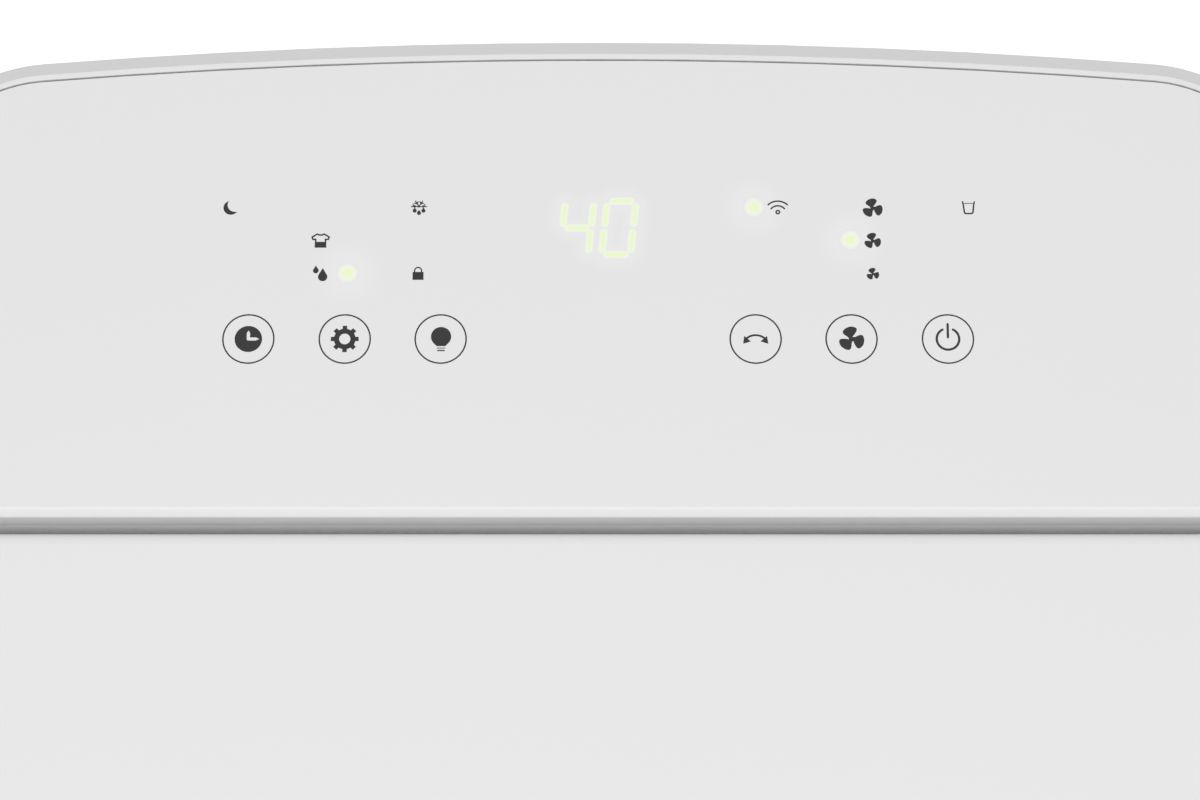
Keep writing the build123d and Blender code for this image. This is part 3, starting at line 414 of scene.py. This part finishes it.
# ---- materials -----------------------------------------------------------------------------------
class Finish:
    """A procedural material, with short calls for the nodes used here."""

    def __init__(self, name, **inputs):
        self.material = bpy.data.materials.new(name)
        self.material.use_nodes = True
        self.tree = self.material.node_tree
        self.shader = self.tree.nodes["Principled BSDF"]
        self.place = self.node("ShaderNodeTexCoord").outputs["Object"]
        for key, value in inputs.items():
            self.put(self.shader.inputs[key.replace("_", " ")], value)

    def node(self, kind, **values):
        made = self.tree.nodes.new(kind)
        for key, value in values.items():
            setattr(made, key, value)
        return made

    def put(self, socket, value):
        """Sets an input, or links another node's output to it."""
        if isinstance(value, bpy.types.NodeSocket):
            self.tree.links.new(value, socket)
        else:
            socket.default_value = value

    def set(self, name, value):
        self.put(self.shader.inputs[name], value)

    def math(self, operation, a, b=0.0):
        made = self.node("ShaderNodeMath", operation=operation)
        self.put(made.inputs[0], a)
        self.put(made.inputs[1], b)
        return made.outputs[0]

    def vector(self, operation, a, b, output="Vector"):
        made = self.node("ShaderNodeVectorMath", operation=operation)
        self.put(made.inputs[0], a)
        self.put(made.inputs["Scale" if operation == "SCALE" else 1], b)
        return made.outputs[output]

    def noise(self, scale, detail=3.0, place=None):
        made = self.node("ShaderNodeTexNoise")
        self.put(made.inputs["Vector"], place or self.place)
        self.put(made.inputs["Scale"], scale)
        self.put(made.inputs["Detail"], detail)
        return made.outputs["Fac"]

    def cells(self, scale, metric="EUCLIDEAN", output="Distance"):
        made = self.node("ShaderNodeTexVoronoi", distance=metric)
        self.put(made.inputs["Vector"], self.place)
        self.put(made.inputs["Scale"], scale)
        return made.outputs[output]

    def waves(self, scale, direction):
        made = self.node("ShaderNodeTexWave", bands_direction=direction)
        self.put(made.inputs["Vector"], self.place)
        self.put(made.inputs["Scale"], scale)
        return made.outputs["Fac"]

    def range(self, value, low, high, start=0.0, end=1.0, smooth=False):
        made = self.node("ShaderNodeMapRange")
        made.interpolation_type = "SMOOTHSTEP" if smooth else "LINEAR"
        limits = {"From Min": start, "From Max": end, "To Min": low, "To Max": high}
        for name, number in limits.items():
            self.put(made.inputs[name], number)
        self.put(made.inputs["Value"], value)
        return made.outputs["Result"]

    def blend(self, factor, low, high):
        """A colour between two colours."""
        made = self.node("ShaderNodeMix", data_type="RGBA")
        self.put(made.inputs["Factor"], factor)
        for name, colour in (("A", low), ("B", high)):
            is_linked = isinstance(colour, bpy.types.NodeSocket)
            self.put(made.inputs[name], colour if is_linked else (*colour, 1.0))
        return made.outputs["Result"]

    def bump(self, height, depth):
        made = self.node("ShaderNodeBump")
        self.put(made.inputs["Height"], height)
        self.put(made.inputs["Distance"], depth)
        self.put(made.inputs["Strength"], 1.0)
        self.set("Normal", made.outputs["Normal"])


def shade(colour, factor):
    """The colour made darker or lighter."""
    return tuple(min(channel * factor, 1.0) for channel in colour)


def plastic(name, colour, roughness, grain=1500.0, depth=0.02 * MM, cloud=0.015, **inputs):
    """Moulded plastic: slow colour drift, fine spark-eroded grain and uneven gloss."""
    made = Finish(name, **inputs)
    drift = made.noise(14.0, 2.0)
    made.set("Base Color", made.blend(drift, shade(colour, 1 - cloud), shade(colour, 1 + cloud)))
    fine = made.noise(grain, 4.0)
    made.set("Roughness", made.range(fine, roughness - 0.05, roughness + 0.05, 0.3, 0.7))
    made.bump(fine, depth)
    return made


def glow_distance(made):
    """Distance in millimetres from the nearest lit segment or lamp, measured on the panel."""
    spot = made.vector("MULTIPLY", made.place, (1 / MM, 1 / MM, 0.0))
    nearest = None
    for start, end in lit_segments():
        run = Vector((end[0] - start[0], end[1] - start[1], 0.0))
        offset = made.vector("SUBTRACT", spot, (start[0], start[1], 0.0))
        share = made.vector("DOT_PRODUCT", offset, tuple(run / run.length_squared), "Value")
        share = made.math("MINIMUM", made.math("MAXIMUM", share, 0.0), 1.0)
        gap = made.vector("DISTANCE", offset, made.vector("SCALE", tuple(run), share), "Value")
        nearest = made.math("MINIMUM", nearest, gap) if nearest else gap
    for x, y in LIT_LAMPS:
        gap = made.vector("DISTANCE", spot, (x, y, 0.0), "Value")
        gap = made.math("ADD", made.math("MULTIPLY", gap, LAMP_SOFT), LAMP_SHIFT)
        nearest = made.math("MINIMUM", nearest, gap)
    return nearest


def panel_finish(name, colour, roughness):
    """Smooth satin panel that lets the light of the digits and lamps through."""
    made = plastic(name, colour, roughness, grain=1900.0, depth=0.004 * MM, cloud=0.004)
    plain = made.shader.inputs["Base Color"].links[0].from_socket
    gap = glow_distance(made)
    core = made.range(gap, 1.0, 0.0, *CORE_FADE, smooth=True)
    halo = made.range(gap, 1.0, 0.0, *HALO_FADE, smooth=True)
    made.set("Base Color", made.blend(core, plain, LIT_UNDER))
    made.set("Emission Color", made.blend(core, HALO, LIT))
    faint = made.math("MULTIPLY", halo, HALO_LEVEL)
    made.set("Emission Strength", made.math("MAXIMUM", core, faint))
    return made


def lit_finish(name):
    """Light from the segments and lamps, a little uneven across each one."""
    made = Finish(name, Roughness=0.5)
    uneven = made.noise(900.0, 2.0)
    made.set("Base Color", made.blend(uneven, (0.03, 0.04, 0.02), (0.05, 0.06, 0.03)))
    made.set("Emission Color", made.blend(uneven, shade(LIT, 0.99), shade(LIT, 1.01)))
    made.set("Emission Strength", 1.0)
    return made


def clear(name, colour, roughness, transmission, grain, depth):
    """See-through or frosted plastic."""
    made = plastic(name, colour, roughness, grain=grain, depth=depth, IOR=1.49)
    made.set("Transmission Weight", transmission)
    return made


def metal(name, low, high, roughness, place_scale, streaks, depth):
    """Bare metal with rolled or machined streaks; place_scale squeezes the streaks' directions."""
    made = Finish(name, Metallic=1.0)
    stretched = made.vector("MULTIPLY", made.place, place_scale)
    streak = made.noise(streaks, 4.0, stretched)
    stain = made.noise(45.0, 3.0)
    made.set("Base Color", made.blend(stain, low, high))
    made.set("Roughness", made.range(streak, roughness - 0.07, roughness + 0.1, 0.3, 0.7))
    made.bump(streak, depth)
    return made


def zinc(name):
    """Galvanised sheet with its spangle."""
    made = Finish(name, Metallic=1.0)
    spangle = made.cells(160.0, output="Color")
    tone = made.vector("DOT_PRODUCT", spangle, (0.33, 0.33, 0.33), "Value")
    made.set("Base Color", made.blend(tone, (0.5, 0.51, 0.53), (0.68, 0.69, 0.7)))
    made.set("Roughness", made.range(tone, 0.28, 0.48))
    made.bump(made.noise(700.0), 0.01 * MM)
    return made


def enamel(name, colour):
    """Black enamel with the ripple of a dipped coat."""
    made = Finish(name)
    ripple = made.noise(260.0, 2.0)
    made.set("Base Color", made.blend(made.noise(30.0), colour, shade(colour, 1.6)))
    made.set("Roughness", made.range(ripple, 0.22, 0.36))
    made.set("Coat Weight", 0.4)
    made.bump(ripple, 0.05 * MM)
    return made


def foam(name, colour, cell):
    """Closed-cell foam with dark pores."""
    made = Finish(name)
    pores = made.cells(cell)
    made.set("Base Color", made.blend(pores, colour, shade(colour, 0.75)))
    made.set("Roughness", made.range(pores, 0.95, 0.75))
    made.bump(made.math("SUBTRACT", 1.0, pores), 0.15 * MM)
    return made


def rubber(name, colour, roughness):
    """Rubber with a pale bloom and fine pores."""
    made = Finish(name)
    bloom = made.noise(55.0, 4.0)
    pores = made.noise(2200.0, 3.0)
    made.set("Base Color", made.blend(bloom, colour, shade(colour, 1.7)))
    made.set("Roughness", made.range(pores, roughness - 0.08, roughness + 0.08, 0.3, 0.7))
    made.set("Sheen Weight", 0.15)
    made.bump(pores, 0.03 * MM)
    return made


def board(name):
    """Green solder mask over copper tracks."""
    made = Finish(name)
    tracks = made.cells(220.0, metric="MANHATTAN")
    line = made.range(tracks, 0.0, 1.0, 0.42, 0.46)
    made.set("Base Color", made.blend(line, (0.012, 0.13, 0.05), (0.04, 0.25, 0.09)))
    made.set("Roughness", made.range(made.noise(400.0), 0.25, 0.4))
    made.bump(line, 0.03 * MM)
    return made


def weave(name, colour):
    """Nylon mesh: threads both ways, with painted shade in the gaps between them."""
    made = Finish(name)
    pitch = 160.0
    over = made.math("MAXIMUM", made.waves(pitch, "X"), made.waves(pitch, "Z"))
    # the gaps between the threads get a quarter of the thread colour: painted shade
    made.set("Base Color", made.blend(over, shade(colour, 0.25), colour))
    made.set("Roughness", made.range(over, 0.8, 0.5))
    made.bump(over, 0.2 * MM)
    return made


WHITE = (0.765, 0.765, 0.765)
IRON, IRON_LIGHT = (0.2, 0.2, 0.21), (0.3, 0.29, 0.28)
STEEL, STEEL_LIGHT = (0.5, 0.5, 0.51), (0.6, 0.6, 0.6)
COPPER, COPPER_LIGHT = (0.55, 0.22, 0.12), (0.82, 0.42, 0.28)
FIN, FIN_LIGHT = (0.7, 0.71, 0.72), (0.8, 0.8, 0.8)
FINISHES = {
    "casing_white": lambda n: plastic(n, WHITE, 0.5, grain=1700.0, depth=0.012 * MM, cloud=0.006),
    "panel_white": lambda n: panel_finish(n, WHITE, 0.42),
    "flap_white": lambda n: plastic(n, WHITE, 0.42, grain=1900.0, depth=0.004 * MM, cloud=0.004),
    "vane_grey": lambda n: plastic(n, (0.2, 0.205, 0.21), 0.45, grain=1500.0),
    "tank_clear": lambda n: clear(n, (0.8, 0.86, 0.9), 0.3, 0.85, 700.0, 0.03 * MM),
    "lid_grey": lambda n: plastic(n, (0.46, 0.48, 0.5), 0.48),
    "window_clear": lambda n: clear(n, (0.2, 0.24, 0.28), 0.12, 0.6, 500.0, 0.003 * MM),
    "inner_plastic": lambda n: plastic(n, (0.33, 0.34, 0.35), 0.55, grain=900.0, depth=0.03 * MM),
    "fan_plastic": lambda n: plastic(n, (0.03, 0.03, 0.033), 0.42, grain=1100.0),
    "gear_plastic": lambda n: plastic(n, (0.75, 0.73, 0.66), 0.35, grain=1300.0),
    "dark_plastic": lambda n: plastic(n, (0.018, 0.018, 0.02), 0.4, grain=1300.0),
    "float_foam": lambda n: foam(n, (0.8, 0.78, 0.7), 900.0),
    "filter_mesh": lambda n: weave(n, (0.05, 0.053, 0.057)),
    "circuit_board": board,
    "lamp_lens": lambda n: clear(n, (0.85, 0.93, 0.75), 0.25, 0.5, 800.0, 0.005 * MM),
    "foam_black": lambda n: foam(n, (0.03, 0.03, 0.03), 1500.0),
    "compressor_black": lambda n: enamel(n, (0.008, 0.008, 0.009)),
    "motor_iron": lambda n: metal(n, IRON, IRON_LIGHT, 0.5, (1, 1, 30), 60.0, 0.02 * MM),
    "motor_steel": lambda n: metal(n, STEEL, STEEL_LIGHT, 0.33, (1, 30, 1), 40.0, 0.01 * MM),
    "copper": lambda n: metal(n, COPPER, COPPER_LIGHT, 0.3, (1, 1, 1), 300.0, 0.01 * MM),
    "fin_aluminium": lambda n: metal(n, FIN, FIN_LIGHT, 0.35, (1, 8, 1), 90.0, 0.02 * MM),
    "zinc_steel": zinc,
    "rubber_black": lambda n: rubber(n, (0.014, 0.014, 0.015), 0.65),
    "caster_fork": lambda n: plastic(n, (0.022, 0.022, 0.024), 0.45, grain=1200.0),
    "caster_tread": lambda n: rubber(n, (0.055, 0.055, 0.058), 0.6),
}
made_finishes = {slot: build(slot).material for slot, build in FINISHES.items()}
for part in frame["record"]["subparts"]:
    mesh = frame["nodes"][part["node"]].data
    mesh.materials.clear()
    mesh.materials.append(made_finishes[part["material_slot"]])


# ---- printed symbols and lit parts ---------------------------------------------------------------
INK = plastic(
    "printed_ink", (0.036, 0.036, 0.037), 0.5, grain=2600.0, depth=0.003 * MM, cloud=0.05,
    Specular_IOR_Level=0.25,
).material
LIGHT = lit_finish("lit_segment").material
PRINT_LOW, PRINT_HIGH = TOP - INK_DEPTH, TOP + INK_RISE


def flat_piece(name, shapes, x, y, material):
    """A print or a lit part, standing just off the panel."""
    made = plate(shapes, x, y, PRINT_LOW, PRINT_HIGH)
    return add_object(name, to_mesh(name, made), "chassis", material)


for name, (shapes, x, y) in SYMBOLS.items():
    flat_piece(f"print_{name}", shapes, x, y, INK)
ring = [circle(RING_R + half, steps=128) for half in (RING_LINE / 2, -RING_LINE / 2)]
for side, word in ((-1, "left"), (1, "right")):
    for k, x in enumerate(BUTTON_X, start=1):
        flat_piece(f"print_ring_{word}_{k}", [ring], side * x, BUTTON_Y, INK)

digits = [[band(ends, 2 * LIT_CORE_R)] for ends in lit_segments()]
flat_piece("lit_digits", digits, 0, 0, LIGHT)
lamps = [[circle(LAMP_CORE_R, x, y)] for x, y in LIT_LAMPS]
flat_piece("lit_lamps", lamps, 0, 0, LIGHT)


# ---- trim that the CAD leaves plain --------------------------------------------------------------
def filter_threads():
    """Woven threads on the outer face of the air filter."""
    low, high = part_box("air_filter")
    radius, pitch, edge, mesh_depth = 0.16 * MM, 2.1 * MM, 5.5 * MM, 2.8 * MM
    face = low.y + mesh_depth
    lines = []
    for k in range(int((high.x - low.x - 2 * edge) / pitch)):
        x = low.x + edge + (k + 0.5) * pitch
        ends = [Vector((x, face + radius, z)) for z in (low.z + edge, high.z - edge)]
        lines.append(ends)
    for k in range(int((high.z - low.z - 2 * edge) / pitch)):
        z = low.z + edge + (k + 0.5) * pitch
        y = face + 2.6 * radius
        lines.append([Vector((x, y, z)) for x in (low.x + edge, high.x - edge)])
    thread = plastic("nylon_thread", (0.09, 0.095, 0.1), 0.5, grain=2500.0, cloud=0.08).material
    mesh = threads("filter_threads", lines, radius)
    return add_object("filter_threads", mesh, "intake_grille", thread)


def caster_hubs():
    """Dished hub on both faces of each caster wheel."""
    hub = plastic("hub_grey", (0.2, 0.2, 0.21), 0.42, grain=1300.0).material
    profile = [(2.0, -0.3), (9.2, -0.3), (9.2, 0.12), (8.6, 0.3), (7.6, 0.3), (7.0, 0.1)]
    profile += [(4.2, 0.1), (3.6, 0.3), (2.0, 0.3)]
    for word in ("front_left", "front_right", "rear_left", "rear_right"):
        low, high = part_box(f"caster_wheel_{word}")
        centre = (low + high) / 2
        for side, end in ((-1, low.x), (1, high.x)):
            place = Vector((end, centre.y, centre.z))
            mesh = lathe("hub", [(r, side * x) for r, x in profile], place)
            name = f"caster_hub_{word}_{'inner' if side * centre.x < 0 else 'outer'}"
            add_object(name, mesh, f"caster_wheel_{word}", hub)


def window_marks():
    """Printed level marks beside the clear strip in the drawer front."""
    low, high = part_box("tank_window")
    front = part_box("tank_front")[0].y
    margin, aside, half_line = 6.0 * MM, 2.0 * MM, 0.3 * MM
    long_mark, short_mark = 7.0 * MM, 4.0 * MM
    levels, longs_apart = 9, 4
    made = bmesh.new()
    for k in range(levels):
        z = low.z + margin + (high.z - low.z - 2 * margin) * k / (levels - 1)
        start = high.x + aside
        end = start + (short_mark if k % longs_apart else long_mark)
        corners = [(start, z - half_line), (end, z - half_line)]
        corners += [(end, z + half_line), (start, z + half_line)]
        # the front face bows back from the middle, so each mark follows it
        bow = [(x, front + x * x / 2 / FACE_R, z) for x, z in corners]
        outer = [(x, y - INK_RISE, z) for x, y, z in bow]
        inner = [(x, y + INK_DEPTH, z) for x, y, z in bow]
        prism(made, outer, inner)
    bmesh.ops.recalc_face_normals(made, faces=made.faces)
    return add_object("level_marks", to_mesh("level_marks", made), "tank", INK)


def groove_seal():
    """Pale soft seal lying in the corner between the groove's back wall and its floor."""
    ends = [[(x * MM, y * MM, TOP - down * MM) for y, down in SEAL_PROFILE] for x in SEAL_X]
    made = bmesh.new()
    prism(made, *ends)
    bmesh.ops.recalc_face_normals(made, faces=made.faces)
    finish = plastic("seal_pale", (0.7, 0.7, 0.7), 0.6, grain=1500.0, depth=0.01 * MM).material
    return add_object("groove_seal", to_mesh("groove_seal", made), "chassis", finish)


filter_threads()
caster_hubs()
window_marks()
groove_seal()


# ---- studio --------------------------------------------------------------------------------------
def floor():
    """A wide plain disc."""
    made = bmesh.new()
    bmesh.ops.create_circle(made, cap_ends=True, segments=96, radius=FLOOR_R)
    mesh = to_mesh("studio_floor", made)
    piece = bpy.data.objects.new("studio_floor", mesh)
    bpy.context.scene.collection.objects.link(piece)
    finish = Finish("studio_pale", Roughness=0.9)
    mottle = finish.noise(3.0, 2.0)
    finish.set("Base Color", finish.blend(mottle, (0.84, 0.84, 0.84), (0.86, 0.86, 0.86)))
    finish.set("Emission Color", (1.0, 1.0, 1.0, 1.0))
    finish.set("Emission Strength", FLOOR_GLOW)
    mesh.materials.append(finish.material)
    # the fill from below comes from the world, so it stays even
    piece.visible_diffuse = False
    piece.visible_glossy = False


def world():
    """White surround: bright at the horizon, softer overhead, dimmer from below."""
    made = bpy.data.worlds.new("studio")
    bpy.context.scene.world = made
    made.use_nodes = True
    tree = made.node_tree
    background = tree.nodes["Background"]
    place = tree.nodes.new("ShaderNodeTexCoord")
    split = tree.nodes.new("ShaderNodeSeparateXYZ")
    ramp = tree.nodes.new("ShaderNodeValToRGB")
    lift = tree.nodes.new("ShaderNodeMapRange")
    lift.inputs["From Min"].default_value = -1.0
    tree.links.new(place.outputs["Generated"], split.inputs[0])
    tree.links.new(split.outputs["Z"], lift.inputs["Value"])
    tree.links.new(lift.outputs["Result"], ramp.inputs["Fac"])
    tree.links.new(ramp.outputs["Color"], background.inputs["Color"])
    stops = ramp.color_ramp.elements
    while len(stops) < len(SURROUND):
        stops.new(0.5)
    for stop, (at, level) in zip(stops, SURROUND):
        stop.position = at
        stop.color = (level, level, level, 1.0)


def lamp(name, place, aim, size, power):
    """A soft square light that the camera doesn't see."""
    light = bpy.data.lights.new(name, "AREA")
    light.size = size
    light.energy = power
    piece = bpy.data.objects.new(name, light)
    piece.location = place
    piece.rotation_euler = (Vector(aim) - Vector(place)).to_track_quat("-Z", "Y").to_euler()
    piece.visible_camera = False
    bpy.context.scene.collection.objects.link(piece)


floor()
world()
lamp("key", (KEY_ASIDE, KEY_BACK, TOP + KEY_UP), (0, 0, TOP), KEY_SIZE, KEY_POWER)

view = bpy.data.cameras.new("camera")
view.lens = LENS
view.sensor_width = SENSOR
view.clip_start, view.clip_end = 0.05, 100.0
camera = bpy.data.objects.new("camera", view)
tilt = math.radians(CAMERA_TILT)
camera.location = (
    CAMERA_ASIDE,
    CAMERA_AIM_Y - CAMERA_REACH * math.sin(tilt),
    TOP + CAMERA_REACH * math.cos(tilt),
)
camera.rotation_euler = (tilt, 0, 0)
bpy.context.scene.collection.objects.link(camera)
bpy.context.scene.camera = camera
bpy.context.scene.view_settings.view_transform = "Standard"
